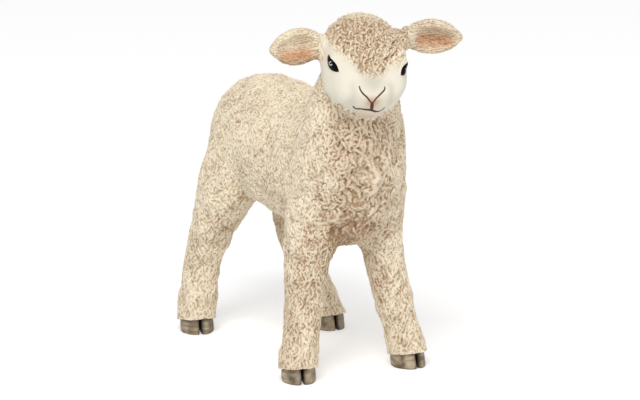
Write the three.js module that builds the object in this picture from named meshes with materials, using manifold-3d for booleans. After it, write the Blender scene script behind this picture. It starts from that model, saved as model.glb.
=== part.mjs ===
// A toy lamb, standing and looking a little to its right, as moulded in soft plastic and painted.
// Millimetres, +Z up. The lamb faces -Y, and its own right side is at -X.
// The figure is put together from mouldings: a front and a rear body half, four legs, four hooves,
// a tail, a head, two ears and two eyes. Each moulding has a round peg that is glued into the next.
import * as THREE from "three";
import { mergeVertices } from "three/addons/utils/BufferGeometryUtils.js";
import Module from "manifold-3d";

const wasm = await Module();
wasm.setup();

// Sizes that every moulding follows
const glueGap = 0.25;
const cutReach = 80;
const pegSides = 16;

// The wool of the body and the legs is modelled in tufts. They stand up to this much over the
// hollows between them, by shares that are taken in turn so that no two neighbours are alike
const tuftHeight = 0.5;
const tuftShares = [0.7, 1, 0.6, 0.9, 0.75, 0.95, 0.65];
const tuftSteps = { along: 2, around: 3 };
const tuftMiddleShare = 0.4;

// Trunk, from the front of the chest to the back of the rump
const trunk = { length: 36.8, width: 15.8, depth: 18.6, chestPlace: -17, middleHeight: 25.6 };
const trunkPlaceShares = [0, 0.17, 0.4, 0.64, 0.86, 1];
const trunkWidthShares = [0.84, 0.98, 0.97, 1, 0.98, 0.8];
const trunkTopShares = [0.6, 0.95, 1, 1.04, 1.04, 0.84];
const trunkBottomShares = [0.8, 1, 0.93, 0.8, 0.62, 0.4];
const trunkMesh = { rings: 22, sides: 24, blunt: 2.8 };

// A place along the trunk, as a share of its length from the chest
const alongTrunk = (share) => trunk.chestPlace + share * trunk.length;

// Neck, from the brisket up into the head. It reaches below and above the middle of the trunk
const neck = { width: 14, depth: 13, drop: 9, rise: 18.4, lean: 6.4, turn: 1, trunkShare: 0.206 };
const neckWidthShares = [1.06, 1.12, 0.94, 0.74];
const neckDepthShares = [1.14, 1.12, 0.86, 0.66];
const neckLeanShares = [0.04, 0.35, 0.7, 1];
const neckMesh = { rings: 14, sides: 20, blunt: 3 };
const neckTop = trunk.middleHeight + neck.rise;

// The seam across the body, behind the shoulders, and the spigot that joins its two halves
const bodySeamShare = 0.232;
const spigot = { radius: 3.6, length: 5 };

// Legs. A leg's seam is below the middle of the trunk, and its top is above it. Heights are shares
// of the top's, and widths and depths are shares of those at the hem. The spread is how far out
// from the middle a foot stands, and the reach is how far the leg strays forwards or back
const frontLeg = {
  seamDrop: 10,
  rise: 4.4,
  trunkShare: 0.18,
  heightShares: [1, 0.82, 0.62, 0.47, 0.33, 0.2, 0.09, -0.07],
  reachShares: [0, 0.17, 0.31, 0.48, 0.69, 0.86, 0.97, 1],
  depthShares: [1.2, 1.6, 1.4, 1.04, 0.92, 0.86, 0.97, 1],
};
const hindLeg = {
  seamDrop: 11,
  rise: 6.4,
  trunkShare: 0.723,
  heightShares: [1, 0.81, 0.64, 0.5, 0.37, 0.25, 0.09, -0.06],
  depthShares: [1, 2, 1.86, 1.34, 1, 0.89, 0.98, 1],
};
const frontRight = { spread: 8.4, reach: -2.9, width: 5.8, depth: 5.9, toeOutAngle: 14 };
const frontLeft = { spread: 7.9, reach: -3, width: 5.7, depth: 5.8, toeOutAngle: 6 };
const hindRight = { spread: 9.1, reach: 5.4, width: 5.8, depth: 6, toeOutAngle: 14 };
const hindLeft = { spread: 7.6, reach: 4.6, width: 5.7, depth: 6, toeOutAngle: 4 };
const legs = [
  {
    name: "front_right",
    side: -1,
    ...frontRight,
    ...frontLeg,
    spreadShares: [0.4, 0.53, 0.65, 0.77, 0.85, 0.92, 0.99, 1],
    widthShares: [0.86, 1.2, 1.17, 0.98, 0.86, 0.84, 0.97, 1],
  },
  {
    name: "front_left",
    side: 1,
    ...frontLeft,
    ...frontLeg,
    spreadShares: [0.43, 0.56, 0.56, 0.65, 0.74, 0.85, 0.96, 1],
    widthShares: [0.88, 1.3, 1.04, 0.95, 0.95, 0.84, 0.96, 1],
  },
  {
    name: "hind_right",
    side: -1,
    ...hindRight,
    ...hindLeg,
    spreadShares: [0.37, 0.47, 0.58, 0.7, 0.82, 0.9, 0.98, 1],
    reachShares: [0, 0.22, 0.44, 0.67, 0.89, 1, 0.97, 0.94],
    widthShares: [0.69, 1.33, 1.4, 1.17, 0.93, 0.85, 0.97, 1],
  },
  {
    name: "hind_left",
    side: 1,
    ...hindLeft,
    ...hindLeg,
    spreadShares: [0.45, 0.55, 0.66, 0.71, 0.76, 0.83, 0.94, 1],
    reachShares: [0, 0.26, 0.57, 0.91, 1, 0.65, -0.11, -0.59],
    widthShares: [0.7, 1.3, 1.37, 1.09, 0.93, 0.86, 0.96, 1],
  },
];
const legMesh = { rings: 20, sides: 16, blunt: 5 };
const legPeg = { radius: 1.3, length: 4 };
const seamHeight = (leg) => trunk.middleHeight - leg.seamDrop;

// Hooves. The hem of the wool is high at the toe and low at the heel
const hoof = { width: 4.4, length: 5, toeHeight: 2.2, hemAngle: 9, reach: 0.35 };
const hoofRiseShares = [-0.5, 0, 0.5, 1, 1.5, 2];
const hoofWidthShares = [0.98, 1, 1, 0.96, 0.9, 0.86];
const hoofLengthShares = [0.98, 1, 0.98, 0.92, 0.86, 0.8];
const hoofMesh = { rings: 9, sides: 16, blunt: 9 };
const cleft = { width: 0.5, depthShare: 0.5 };
const hoofPeg = { radius: 0.8, length: 1.5 };

// Tail, hanging down behind the rump
const tail = { length: 12, width: 3.8, depth: 3, rise: 3.9, stand: 1.9, trunkShare: 0.966 };
const tailWidthShares = [0.7, 0.95, 1, 0.86, 0.6];
const tailStandShares = [0, 0.75, 1, 0.9, 0.6];
const tailDropShares = [0, 0.22, 0.5, 0.78, 1];
const tailMesh = { rings: 12, sides: 12, blunt: 2.6 };
const tailRoot = trunk.middleHeight + tail.rise;
const tailPeg = { radius: 0.7, length: 4, drop: 2.6 };

// Head, in its own frame: the muzzle points to -Y, and the middle of the skull is the origin.
// That middle lies on the end of the neck, a little ahead of it and below it
const head = { length: 14.2, width: 11.1, height: 9.6, back: 5, ahead: 0.4, aside: -0.2, below: 0.6 };
const headTurn = { yawAngle: -15, pitchAngle: 32, rollAngle: 4 };
const headPlaceShares = [0, 0.2, 0.42, 0.62, 0.82, 1];
const headWidthShares = [0.8, 0.95, 1, 0.99, 0.92, 0.8];
const headTopShares = [0.8, 0.98, 0.96, 0.7, 0.46, 0.4];
const headBottomShares = [0.6, 0.9, 1.06, 1.18, 1.2, 1.1];
const headMesh = { rings: 20, sides: 24, blunt: 2.6 };
const cap = { width: 9.6, length: 9.2, height: 5, rise: 1.5 };
const capMesh = { across: 20, down: 12 };
const headPeg = { radius: 2.2, length: 4.2, drop: 4 };

// Ears, each in its own frame: root at the origin, tip out along the ear
const ear = { length: 8.8, width: 4.6, thickness: 2.4, wall: 0.8, rootOut: 4.2, rootBack: 0.6 };
const earPlaceShares = [0, 0.22, 0.5, 0.78, 1];
const earWidthShares = [0.5, 0.78, 1, 0.84, 0.34];
const earBackShares = [0.8, 0.91, 1, 0.94, 0.74];
const scoopStartShare = 0.3;
const earMesh = { rings: 12, sides: 12, blunt: 2.4 };
const earTurns = {
  right: { rise: 1, liftAngle: 2.5, sweepAngle: -15, rollAngle: 36 },
  left: { rise: 2.4, liftAngle: 7, sweepAngle: -8, rollAngle: 20 },
};
const earPeg = { radius: 0.65, length: 3.4 };
const earPegShare = 0.22;

// Eyes, beads that sit in a socket at each side of the face
const eye = { length: 2.5, height: 1.5, depth: 1.1, out: 4.5, forward: 3.9, rise: 1.45 };
const eyeTurn = { slantAngle: 30, faceAngle: 58 };
const eyeMesh = { across: 12, down: 8 };

const paint = {
  wool: { color: 0xe2d2b4, roughness: 0.85, metalness: 0 },
  face: { color: 0xece5d6, roughness: 0.7, metalness: 0 },
  ear: { color: 0xd8b394, roughness: 0.8, metalness: 0 },
  hoof: { color: 0x9c8e79, roughness: 0.6, metalness: 0 },
  eye: { color: 0x0c0b0d, roughness: 0.15, metalness: 0 },
};

const xAxis = new THREE.Vector3(1, 0, 0);
const yAxis = new THREE.Vector3(0, 1, 0);
const zAxis = new THREE.Vector3(0, 0, 1);
const radians = THREE.MathUtils.degToRad;

// A closed geometry as a solid, turned right way out if it was mirrored
function solidOf(geometry) {
  const bare = geometry.clone();
  bare.deleteAttribute("normal");
  bare.deleteAttribute("uv");
  const merged = mergeVertices(bare);
  const corners = new Uint32Array(merged.index.array);
  const made = () =>
    new wasm.Manifold(
      new wasm.Mesh({
        numProp: 3,
        vertProperties: merged.attributes.position.array,
        triVerts: corners,
      }),
    );
  const first = made();
  if (first.volume() > 0) return first;
  for (let i = 0; i < corners.length; i += 3) {
    [corners[i + 1], corners[i + 2]] = [corners[i + 2], corners[i + 1]];
  }
  return made();
}

// A solid as a geometry that three.js can draw
function geometryOf(solid) {
  const mesh = solid.getMesh();
  const position = new Float32Array(mesh.numVert * 3);
  for (let i = 0; i < mesh.numVert; i++) {
    const from = i * mesh.numProp;
    position.set(mesh.vertProperties.subarray(from, from + 3), i * 3);
  }
  const geometry = new THREE.BufferGeometry();
  geometry.setAttribute("position", new THREE.BufferAttribute(position, 3));
  geometry.setIndex(new THREE.BufferAttribute(mesh.triVerts, 1));
  geometry.computeVertexNormals();
  return geometry;
}

// How far the wool stands out, at a ring and a side of a loft, as a share of the height of the
// tufts. Every second point is a tuft, and the points round it are hollows
function tuftShare(ring, side) {
  const turn = (ring * tuftSteps.along + side * tuftSteps.around) % tuftShares.length;
  return (ring + side) % 2 ? tuftShares[turn] : 0;
}

// Rings round a spine, closed to a rounded end at both ends. sizes holds, for each point of the
// spine, half the width along `across`, and how far the ring reaches along and against `over`.
// With `tufted`, its points stand out and lie in by turns, and the faces fold along the hollows,
// so that each tuft stands by itself
function loft({ spine, sizes, across, over, rings, sides, blunt, tufted = false }) {
  const middle = new THREE.CatmullRomCurve3(spine, false, "centripetal");
  const size = new THREE.CatmullRomCurve3(sizes, false, "centripetal");
  const position = [];
  const index = [];
  for (let i = 0; i <= rings; i++) {
    const along = -Math.cos((Math.PI * i) / rings);
    const round = Math.pow(Math.max(0, 1 - Math.pow(Math.abs(along), blunt)), 1 / blunt);
    const share = (1 + along) / 2;
    const centre = middle.getPoint(share);
    const half = size.getPoint(share);
    const count = i === 0 || i === rings ? 1 : sides;
    for (let k = 0; k < count; k++) {
      const angle = (2 * Math.PI * k) / sides;
      const reach = Math.sin(angle) > 0 ? half.y : half.z;
      const stand = tufted ? tuftHeight * (tuftShare(i, k) - tuftMiddleShare) : 0;
      const point = centre
        .clone()
        .addScaledVector(across, round * (half.x + stand) * Math.cos(angle))
        .addScaledVector(over, round * (reach + stand) * Math.sin(angle));
      position.push(point.x, point.y, point.z);
    }
  }
  const first = (i) => 1 + (i - 1) * sides;
  for (let k = 0; k < sides; k++) {
    const next = (k + 1) % sides;
    index.push(0, first(1) + next, first(1) + k);
    for (let i = 1; i < rings - 1; i++) {
      const a = first(i) + k;
      const b = first(i) + next;
      const c = first(i + 1) + k;
      const d = first(i + 1) + next;
      const straight = tuftShare(i, k) + tuftShare(i + 1, next);
      const crossed = tuftShare(i, next) + tuftShare(i + 1, k);
      if (tufted && straight > crossed) index.push(a, b, c, b, d, c);
      else index.push(a, b, d, a, d, c);
    }
    index.push(first(rings), first(rings - 1) + k, first(rings - 1) + next);
  }
  const geometry = new THREE.BufferGeometry();
  geometry.setAttribute("position", new THREE.Float32BufferAttribute(position, 3));
  geometry.setIndex(index);
  return solidOf(geometry);
}

// A round peg from a point, along a direction. It starts a little inside the piece that carries it
function peg(from, direction, { radius, length }, extra = 0) {
  const root = radius;
  const whole = root + length + extra;
  const geometry = new THREE.CylinderGeometry(radius + extra, radius + extra, whole, pegSides);
  const way = direction.clone().normalize();
  geometry.applyQuaternion(new THREE.Quaternion().setFromUnitVectors(yAxis, way));
  const middle = from.clone().addScaledVector(way, whole / 2 - root);
  geometry.translate(middle.x, middle.y, middle.z);
  return solidOf(geometry);
}

// Everything on the side of a plane that `normal` points to
function beyond(point, normal) {
  const geometry = new THREE.BoxGeometry(cutReach, cutReach, cutReach);
  const way = normal.clone().normalize();
  geometry.applyQuaternion(new THREE.Quaternion().setFromUnitVectors(zAxis, way));
  const middle = point.clone().addScaledVector(way, cutReach / 2);
  geometry.translate(middle.x, middle.y, middle.z);
  return solidOf(geometry);
}

function moved(solid, matrix) {
  return solidOf(geometryOf(solid).applyMatrix4(matrix));
}

// Trunk and neck, or with `grow` the room that they need
function trunkSolid(grow = 0) {
  const spine = trunkPlaceShares.map(
    (share) => new THREE.Vector3(0, alongTrunk(share), trunk.middleHeight),
  );
  const sizes = spine.map(
    (_, i) =>
      new THREE.Vector3(
        (trunkWidthShares[i] * trunk.width) / 2 + grow,
        (trunkTopShares[i] * trunk.depth) / 2 + grow,
        (trunkBottomShares[i] * trunk.depth) / 2 + grow,
      ),
  );
  return loft({ spine, sizes, across: xAxis, over: zAxis, ...trunkMesh, tufted: true });
}

function neckSolid(grow = 0) {
  const base = trunk.middleHeight - neck.drop - grow;
  const spine = neckLeanShares.map(
    (share, i) =>
      new THREE.Vector3(
        -share * neck.turn,
        alongTrunk(neck.trunkShare) - share * neck.lean,
        THREE.MathUtils.lerp(base, neckTop, i / (neckLeanShares.length - 1)),
      ),
  );
  const sizes = spine.map((_, i) => {
    const halfDepth = (neckDepthShares[i] * neck.depth) / 2 + grow;
    return new THREE.Vector3((neckWidthShares[i] * neck.width) / 2 + grow, halfDepth, halfDepth);
  });
  return loft({ spine, sizes, across: xAxis, over: yAxis, ...neckMesh, tufted: true });
}

// The middle of a leg, from inside the body to below the hem of the wool
function legSpine(leg) {
  return leg.heightShares.map(
    (share, i) =>
      new THREE.Vector3(
        leg.side * leg.spreadShares[i] * leg.spread,
        alongTrunk(leg.trunkShare) + leg.reachShares[i] * leg.reach,
        share * (trunk.middleHeight + leg.rise),
      ),
  );
}

function legSolid(leg) {
  const spine = legSpine(leg);
  const sizes = spine.map((_, i) => {
    const halfDepth = (leg.depthShares[i] * leg.depth) / 2;
    return new THREE.Vector3((leg.widthShares[i] * leg.width) / 2, halfDepth, halfDepth);
  });
  return loft({ spine, sizes, across: xAxis, over: yAxis, ...legMesh, tufted: true });
}

// Where the middle of a leg passes a height
function legMiddle(leg, height) {
  const spine = legSpine(leg);
  const at = spine.findIndex((point) => point.z < height);
  const share = (spine[at - 1].z - height) / (spine[at - 1].z - spine[at].z);
  return spine[at - 1].clone().lerp(spine[at], share).setZ(height);
}

// The foot of a leg is a group on the ground, turned so that the toe is at its -Y
function footGroup(leg) {
  const group = new THREE.Group();
  group.position.copy(legMiddle(leg, hoof.toeHeight / 2)).setZ(0);
  group.rotation.z = leg.side * radians(leg.toeOutAngle);
  group.updateMatrixWorld(true);
  return group;
}

// The plane of the hem, in the foot's own frame, over the middle of the foot
const hemNormal = zAxis.clone().applyAxisAngle(xAxis, -radians(hoof.hemAngle));
const hemRise = (hoof.length / 2) * Math.tan(radians(hoof.hemAngle));
const hemPoint = new THREE.Vector3(0, 0, hoof.toeHeight - hemRise);

function hoofSolid() {
  const spine = hoofRiseShares.map((share) => {
    const above = Math.max(0, 1 - share);
    return new THREE.Vector3(0, -hoof.reach * above, share * hoof.toeHeight);
  });
  const sizes = spine.map((_, i) => {
    const halfLength = (hoofLengthShares[i] * hoof.length) / 2;
    return new THREE.Vector3((hoofWidthShares[i] * hoof.width) / 2, halfLength, halfLength);
  });
  const block = loft({ spine, sizes, across: xAxis, over: yAxis, ...hoofMesh });
  const ground = beyond(new THREE.Vector3(), zAxis.clone().negate());
  const slot = new THREE.BoxGeometry(cleft.width, hoof.length, cutReach);
  slot.translate(0, hoof.length * (cleft.depthShare - 1), 0);
  return block
    .subtract(ground)
    .subtract(beyond(hemPoint, hemNormal))
    .subtract(solidOf(slot))
    .add(peg(hemPoint, hemNormal, hoofPeg));
}

function tailSolid() {
  const spine = tailDropShares.map(
    (share, i) =>
      new THREE.Vector3(
        0,
        alongTrunk(tail.trunkShare) + tailStandShares[i] * tail.stand,
        tailRoot - share * tail.length,
      ),
  );
  const sizes = spine.map((_, i) => {
    const halfDepth = (tailWidthShares[i] * tail.depth) / 2;
    return new THREE.Vector3((tailWidthShares[i] * tail.width) / 2, halfDepth, halfDepth);
  });
  return loft({ spine, sizes, across: xAxis, over: yAxis, ...tailMesh });
}

// The head, or with `grow` the room that it needs
function skullSolid(grow = 0) {
  const spine = headPlaceShares.map(
    (share) => new THREE.Vector3(0, head.back + grow - share * (head.length + 2 * grow), 0),
  );
  const sizes = spine.map(
    (_, i) =>
      new THREE.Vector3(
        (headWidthShares[i] * head.width) / 2 + grow,
        (headTopShares[i] * head.height) / 2 + grow,
        (headBottomShares[i] * head.height) / 2 + grow,
      ),
  );
  const skull = loft({ spine, sizes, across: xAxis, over: zAxis, ...headMesh });
  const woolCap = new THREE.SphereGeometry(1, capMesh.across, capMesh.down);
  woolCap.scale(cap.width / 2 + grow, cap.length / 2 + grow, cap.height / 2 + grow);
  woolCap.translate(0, 0, cap.rise);
  return skull.add(solidOf(woolCap));
}

const neckEnd = new THREE.Vector3(-neck.turn, alongTrunk(neck.trunkShare) - neck.lean, neckTop);
const headGroup = new THREE.Group();
headGroup.position.copy(neckEnd).sub(new THREE.Vector3(head.aside, head.ahead, head.below));
headGroup.rotation.set(
  radians(headTurn.pitchAngle),
  radians(headTurn.rollAngle),
  radians(headTurn.yawAngle),
  "ZYX",
);
headGroup.updateMatrixWorld(true);

// An ear's group sits at its root, with the ear's own +X pointing to the tip
function earGroup(side) {
  const turn = side < 0 ? earTurns.right : earTurns.left;
  const group = new THREE.Group();
  group.position.set(side * ear.rootOut, ear.rootBack, turn.rise);
  group.rotation.set(
    -radians(turn.rollAngle),
    -side * radians(turn.liftAngle),
    side * radians(turn.sweepAngle),
    "ZYX",
  );
  group.updateMatrix();
  return group;
}

function earSolid(side) {
  const out = xAxis.clone().multiplyScalar(side);
  const spineAt = (shift) =>
    earPlaceShares.map((share) => out.clone().multiplyScalar(share * ear.length).setY(shift));
  const sizesWith = (inset, halfDepth) =>
    earPlaceShares.map((_, i) => {
      const halfWidth = Math.max((earWidthShares[i] * ear.width) / 2 - inset, inset / 2);
      return new THREE.Vector3(halfWidth, halfDepth * earBackShares[i], halfDepth);
    });
  const whole = loft({
    spine: spineAt(0),
    sizes: sizesWith(0, ear.thickness / 2),
    across: zAxis,
    over: yAxis,
    ...earMesh,
  });
  const scoop = loft({
    spine: spineAt(-ear.thickness / 2),
    sizes: sizesWith(ear.wall, ear.thickness - ear.wall),
    across: zAxis,
    over: yAxis,
    ...earMesh,
  });
  const start = out.clone().multiplyScalar(ear.length * scoopStartShare);
  return whole.subtract(scoop.subtract(beyond(start, out.clone().negate())));
}

// An eye's group sits in the socket, with its own -Y pointing out of the face
function eyeGroup(side) {
  const group = new THREE.Group();
  group.position.set(side * eye.out, -eye.forward, eye.rise);
  group.rotation.set(0, -side * radians(eyeTurn.slantAngle), side * radians(eyeTurn.faceAngle), "ZYX");
  group.updateMatrix();
  return group;
}

function eyeSolid(grow = 0) {
  const bead = new THREE.SphereGeometry(1, eyeMesh.across, eyeMesh.down);
  bead.scale(eye.length / 2 + grow, eye.depth / 2 + grow, eye.height / 2 + grow);
  return solidOf(bead);
}

// Putting the figure together
const figure = new THREE.Group();
const parts = new THREE.Group();
figure.add(parts);
parts.add(headGroup);

function addMesh(parent, name, solid, finish) {
  const mesh = new THREE.Mesh(geometryOf(solid), new THREE.MeshStandardMaterial(paint[finish]));
  mesh.name = name;
  parent.add(mesh);
}

// The body, with the upper part of each leg, less the room for the head and for all pegs
const wholeLegs = legs.map(legSolid);
const neckPegFrom = neckEnd.clone().setZ(neckTop - headPeg.drop);
const neckPegWay = new THREE.Vector3(0, neck.lean, -neck.rise - neck.drop);
let body = trunkSolid().add(neckSolid());
for (const [i, leg] of legs.entries()) {
  const aboveSeam = beyond(new THREE.Vector3(0, 0, seamHeight(leg)), zAxis);
  body = body.add(wholeLegs[i].intersect(aboveSeam));
}
for (const leg of legs) {
  body = body.subtract(peg(legMiddle(leg, seamHeight(leg)), zAxis, legPeg, glueGap));
}
body = body
  .subtract(moved(skullSolid(glueGap), headGroup.matrixWorld))
  .subtract(peg(neckPegFrom, neckPegWay, headPeg, glueGap));

// The two halves of the body
const toFront = yAxis.clone().negate();
const bodySeam = new THREE.Vector3(0, alongTrunk(bodySeamShare), trunk.middleHeight);
const halfGap = new THREE.Vector3(0, glueGap / 2, 0);
const frontBody = body
  .subtract(beyond(bodySeam.clone().sub(halfGap), yAxis))
  .subtract(peg(bodySeam, toFront, spigot, glueGap));
addMesh(parts, "front_body", frontBody, "wool");

const tailPegFrom = new THREE.Vector3(
  0,
  alongTrunk(tail.trunkShare) + tail.stand,
  tailRoot - tailPeg.drop,
);
const rearBody = body
  .subtract(beyond(bodySeam.clone().add(halfGap), toFront))
  .add(peg(bodySeam, toFront, spigot))
  .subtract(peg(tailPegFrom, toFront, tailPeg, glueGap));
addMesh(parts, "rear_body", rearBody, "wool");

// Lower legs and hooves. A leg also keeps clear of the body where that hangs below the seam
const bodyRoom = trunkSolid(glueGap).add(neckSolid(glueGap));
for (const [i, leg] of legs.entries()) {
  const foot = footGroup(leg);
  const seamPoint = legMiddle(leg, seamHeight(leg) - glueGap);
  const belowHem = beyond(hemPoint.clone().addScaledVector(hemNormal, glueGap), hemNormal.clone().negate());
  const hoofSocket = peg(hemPoint, hemNormal, hoofPeg, glueGap);
  const lower = wholeLegs[i]
    .subtract(beyond(seamPoint, zAxis))
    .subtract(bodyRoom)
    .add(peg(seamPoint, zAxis, legPeg))
    .subtract(moved(belowHem.add(hoofSocket), foot.matrixWorld));
  addMesh(parts, `${leg.name}_leg`, lower, "wool");
  parts.add(foot);
  addMesh(foot, `${leg.name}_hoof`, hoofSolid(), "hoof");
}

// Tail, cut to the curve of the rump
const rump = moved(trunkSolid(), new THREE.Matrix4().makeTranslation(0, glueGap, 0));
addMesh(parts, "tail", tailSolid().subtract(rump).add(peg(tailPegFrom, toFront, tailPeg)), "wool");

// Head, with its peg down into the neck, and the ears and eyes in it
const neckPeg = peg(neckPegFrom, neckPegWay, headPeg);
let headSolid = skullSolid().add(moved(neckPeg, headGroup.matrixWorld.clone().invert()));
for (const [name, side] of [["right", -1], ["left", 1]]) {
  const atEar = earGroup(side);
  const atEye = eyeGroup(side);
  const inward = xAxis.clone().multiplyScalar(-side);
  const earPegFrom = inward.clone().multiplyScalar(-ear.length * earPegShare);
  const earSocket = peg(earPegFrom, inward, earPeg, glueGap);
  headSolid = headSolid
    .subtract(moved(earSocket, atEar.matrix))
    .subtract(moved(eyeSolid(glueGap), atEye.matrix));
  const skullFromEar = moved(skullSolid(glueGap), atEar.matrix.clone().invert());
  const wholeEar = earSolid(side).subtract(skullFromEar).add(peg(earPegFrom, inward, earPeg));
  addMesh(atEar, `${name}_ear`, wholeEar, "ear");
  addMesh(atEye, `${name}_eye`, eyeSolid(), "eye");
  headGroup.add(atEar, atEye);
}
addMesh(headGroup, "head", headSolid, "face");

// The origin is on the ground, under the middle of the figure's outline
const outline = new THREE.Box3().setFromObject(figure, true);
const middle = outline.getCenter(new THREE.Vector3());
parts.position.set(-middle.x, -middle.y, -outline.min.z);

export default figure;
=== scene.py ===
# %% [markdown]
# # A toy lamb with sculpted wool
#
# The real thing is a small painted figure of soft plastic. A sculptor worked every lock of its wool
# into the master, and the paint is a pale cream with a tan wash that stays in the hollows.
#
# The CAD model gives each moulding its place and its main form. Here every moulding gets its surface:
# wool that is real relief and not only a bump, a smooth face, soft ears, cloven hooves and glossy eyes.

# %% Load the frame
import math
import random

import bmesh
import bpy
import numpy as np
from mathutils import Euler, Matrix, Vector, noise
from mathutils.bvhtree import BVHTree
from mathutils.kdtree import KDTree


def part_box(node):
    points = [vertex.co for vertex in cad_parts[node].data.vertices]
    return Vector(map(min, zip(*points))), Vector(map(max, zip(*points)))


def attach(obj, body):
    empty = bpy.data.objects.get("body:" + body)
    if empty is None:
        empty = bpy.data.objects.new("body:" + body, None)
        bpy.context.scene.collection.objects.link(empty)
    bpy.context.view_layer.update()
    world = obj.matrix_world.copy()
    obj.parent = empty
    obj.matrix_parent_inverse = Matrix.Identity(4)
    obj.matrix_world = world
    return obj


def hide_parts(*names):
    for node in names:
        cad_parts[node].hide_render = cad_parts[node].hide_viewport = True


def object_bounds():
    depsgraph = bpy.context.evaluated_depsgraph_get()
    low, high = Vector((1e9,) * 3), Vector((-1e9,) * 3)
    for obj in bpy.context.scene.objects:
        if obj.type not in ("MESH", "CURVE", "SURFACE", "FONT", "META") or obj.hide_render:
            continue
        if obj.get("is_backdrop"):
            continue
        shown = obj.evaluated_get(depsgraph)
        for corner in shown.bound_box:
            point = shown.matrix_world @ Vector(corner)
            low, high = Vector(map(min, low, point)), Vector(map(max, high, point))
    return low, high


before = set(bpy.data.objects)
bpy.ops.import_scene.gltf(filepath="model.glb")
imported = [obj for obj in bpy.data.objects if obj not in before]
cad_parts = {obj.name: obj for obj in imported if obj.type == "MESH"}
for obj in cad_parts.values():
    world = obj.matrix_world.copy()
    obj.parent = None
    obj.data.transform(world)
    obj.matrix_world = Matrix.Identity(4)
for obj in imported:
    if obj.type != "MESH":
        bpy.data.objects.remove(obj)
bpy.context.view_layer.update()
scene = bpy.context.scene
MM = 0.001

# %% [markdown]
# ## Camera
#
# A picture of a small figure is taken from some way off with a long lens, so its legs run nearly
# parallel. The camera stands 28 degrees round to the lamb's right, a little above it and 0.7 m away.
# The lens is worked out from the scale of the picture, 7.6 pixels to the millimetre at the aim.

# %% Camera
FOCAL_LENGTH, PICTURE_WIDTH = 5320, 640  # in pixels
azimuth, elevation, distance = math.radians(-28), math.radians(14), 0.7
aim = Vector((2.602, 0.179, 20.2)) * MM
away = Vector((math.sin(azimuth), -math.cos(azimuth), math.tan(elevation))).normalized()
camera = bpy.data.objects.new("camera", bpy.data.cameras.new("camera"))
camera.location = aim + away * distance
camera.rotation_euler = away.to_track_quat("Z", "Y").to_euler()
camera.data.sensor_width = 36
camera.data.lens = FOCAL_LENGTH / PICTURE_WIDTH * camera.data.sensor_width
scene.collection.objects.link(camera)
scene.camera = camera
scene.view_settings.view_transform = "Standard"
print("the lens is", round(camera.data.lens), "mm")

# %% [markdown]
# ## Floor and light
#
# The figure stands on white card in a light tent. One big soft lamp above and to the left gives the
# wool its modelling, a weaker one fills from the right, and the world does the rest. The card is
# helped to white for the camera and for mirrors only, so it throws no extra light on the lamb.

# %% Node helpers, used by the floor and by every paint


def node_maker(tree):
    """A function that adds a node to a tree, and gives its inputs values or links"""

    def node(kind, inputs, **settings):
        made = tree.nodes.new(kind)
        for key, value in settings.items():
            setattr(made, key, value)
        for key, value in inputs.items():
            if isinstance(value, bpy.types.NodeSocket):
                tree.links.new(value, made.inputs[key])
            else:
                made.inputs[key].default_value = value
        return made

    return node


def mixed(node, share, first, second):
    """A colour between two others"""
    return node("ShaderNodeMix", {0: share, 6: first, 7: second}, data_type="RGBA").outputs[2]


def math_of(node, operation, first, second, **settings):
    """Two values added, multiplied or compared"""
    return node("ShaderNodeMath", {0: first, 1: second}, operation=operation, **settings).outputs[0]


def ranged(node, value, low=0.0, high=1.0, to_low=0.0, to_high=1.0, **settings):
    """A value spread from one range to another"""
    limits = {"Value": value, "From Min": low, "From Max": high, "To Min": to_low, "To Max": to_high}
    return node("ShaderNodeMapRange", limits, **settings).outputs["Result"]


def cloud(node, place, scale, detail, *limits):
    """Soft noise, spread from one range to another"""
    fac = node("ShaderNodeTexNoise", {"Vector": place, "Scale": scale, "Detail": detail}).outputs["Fac"]
    return ranged(node, fac, *limits)


def new_material(name, roughness, specular=0.5):
    """A material, its Principled shader, and its makers of nodes and of links"""
    material = bpy.data.materials.new(name)
    material.use_nodes = True
    tree = material.node_tree
    shader = tree.nodes["Principled BSDF"]
    shader.inputs["Roughness"].default_value = roughness
    shader.inputs["Specular IOR Level"].default_value = specular
    return material, shader, node_maker(tree), tree.links.new


def linear(red, green, blue):
    """A colour as seen on a screen, 0 to 255, as the linear colour that a shader takes"""
    shares = [value / 255 for value in (red, green, blue)]
    return [s / 12.92 if s <= 0.04045 else ((s + 0.055) / 1.055) ** 2.4 for s in shares] + [1.0]


def paint_on(pieces, material):
    """Gives pieces their material"""
    for piece in pieces:
        piece.data.materials.clear()
        piece.data.materials.append(material)
    print(material.name, "is on", len(pieces), "pieces")


def mesh_of(bm, name):
    """The mesh that a bmesh holds. The bmesh is freed"""
    mesh = bpy.data.meshes.new(name)
    bm.to_mesh(mesh)
    bm.free()
    return mesh


print("cream is", [round(value, 3) for value in linear(238, 226, 200)])

# %% Floor
CARD_GLOW, FLOOR_REACH = 0.34, 4
card, card_shader, node, link = new_material("white_card", 0.9)
card_shader.inputs["Base Color"].default_value = linear(236, 236, 236)
path = node("ShaderNodeLightPath", {})
seen = math_of(node, "MAXIMUM", path.outputs["Is Camera Ray"], path.outputs["Is Glossy Ray"])
seen = math_of(node, "MAXIMUM", seen, path.outputs["Is Transmission Ray"])
card_shader.inputs["Emission Color"].default_value = (1, 1, 1, 1)
link(math_of(node, "MULTIPLY", seen, CARD_GLOW), card_shader.inputs["Emission Strength"])

bm = bmesh.new()
bmesh.ops.create_grid(bm, x_segments=1, y_segments=1, size=FLOOR_REACH)
floor = bpy.data.objects.new("floor", mesh_of(bm, "floor"))
floor.data.materials.append(card)
scene.collection.objects.link(floor)
floor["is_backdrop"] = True
print("the floor is", floor.dimensions.x, "m wide")

# %% Light


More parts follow.
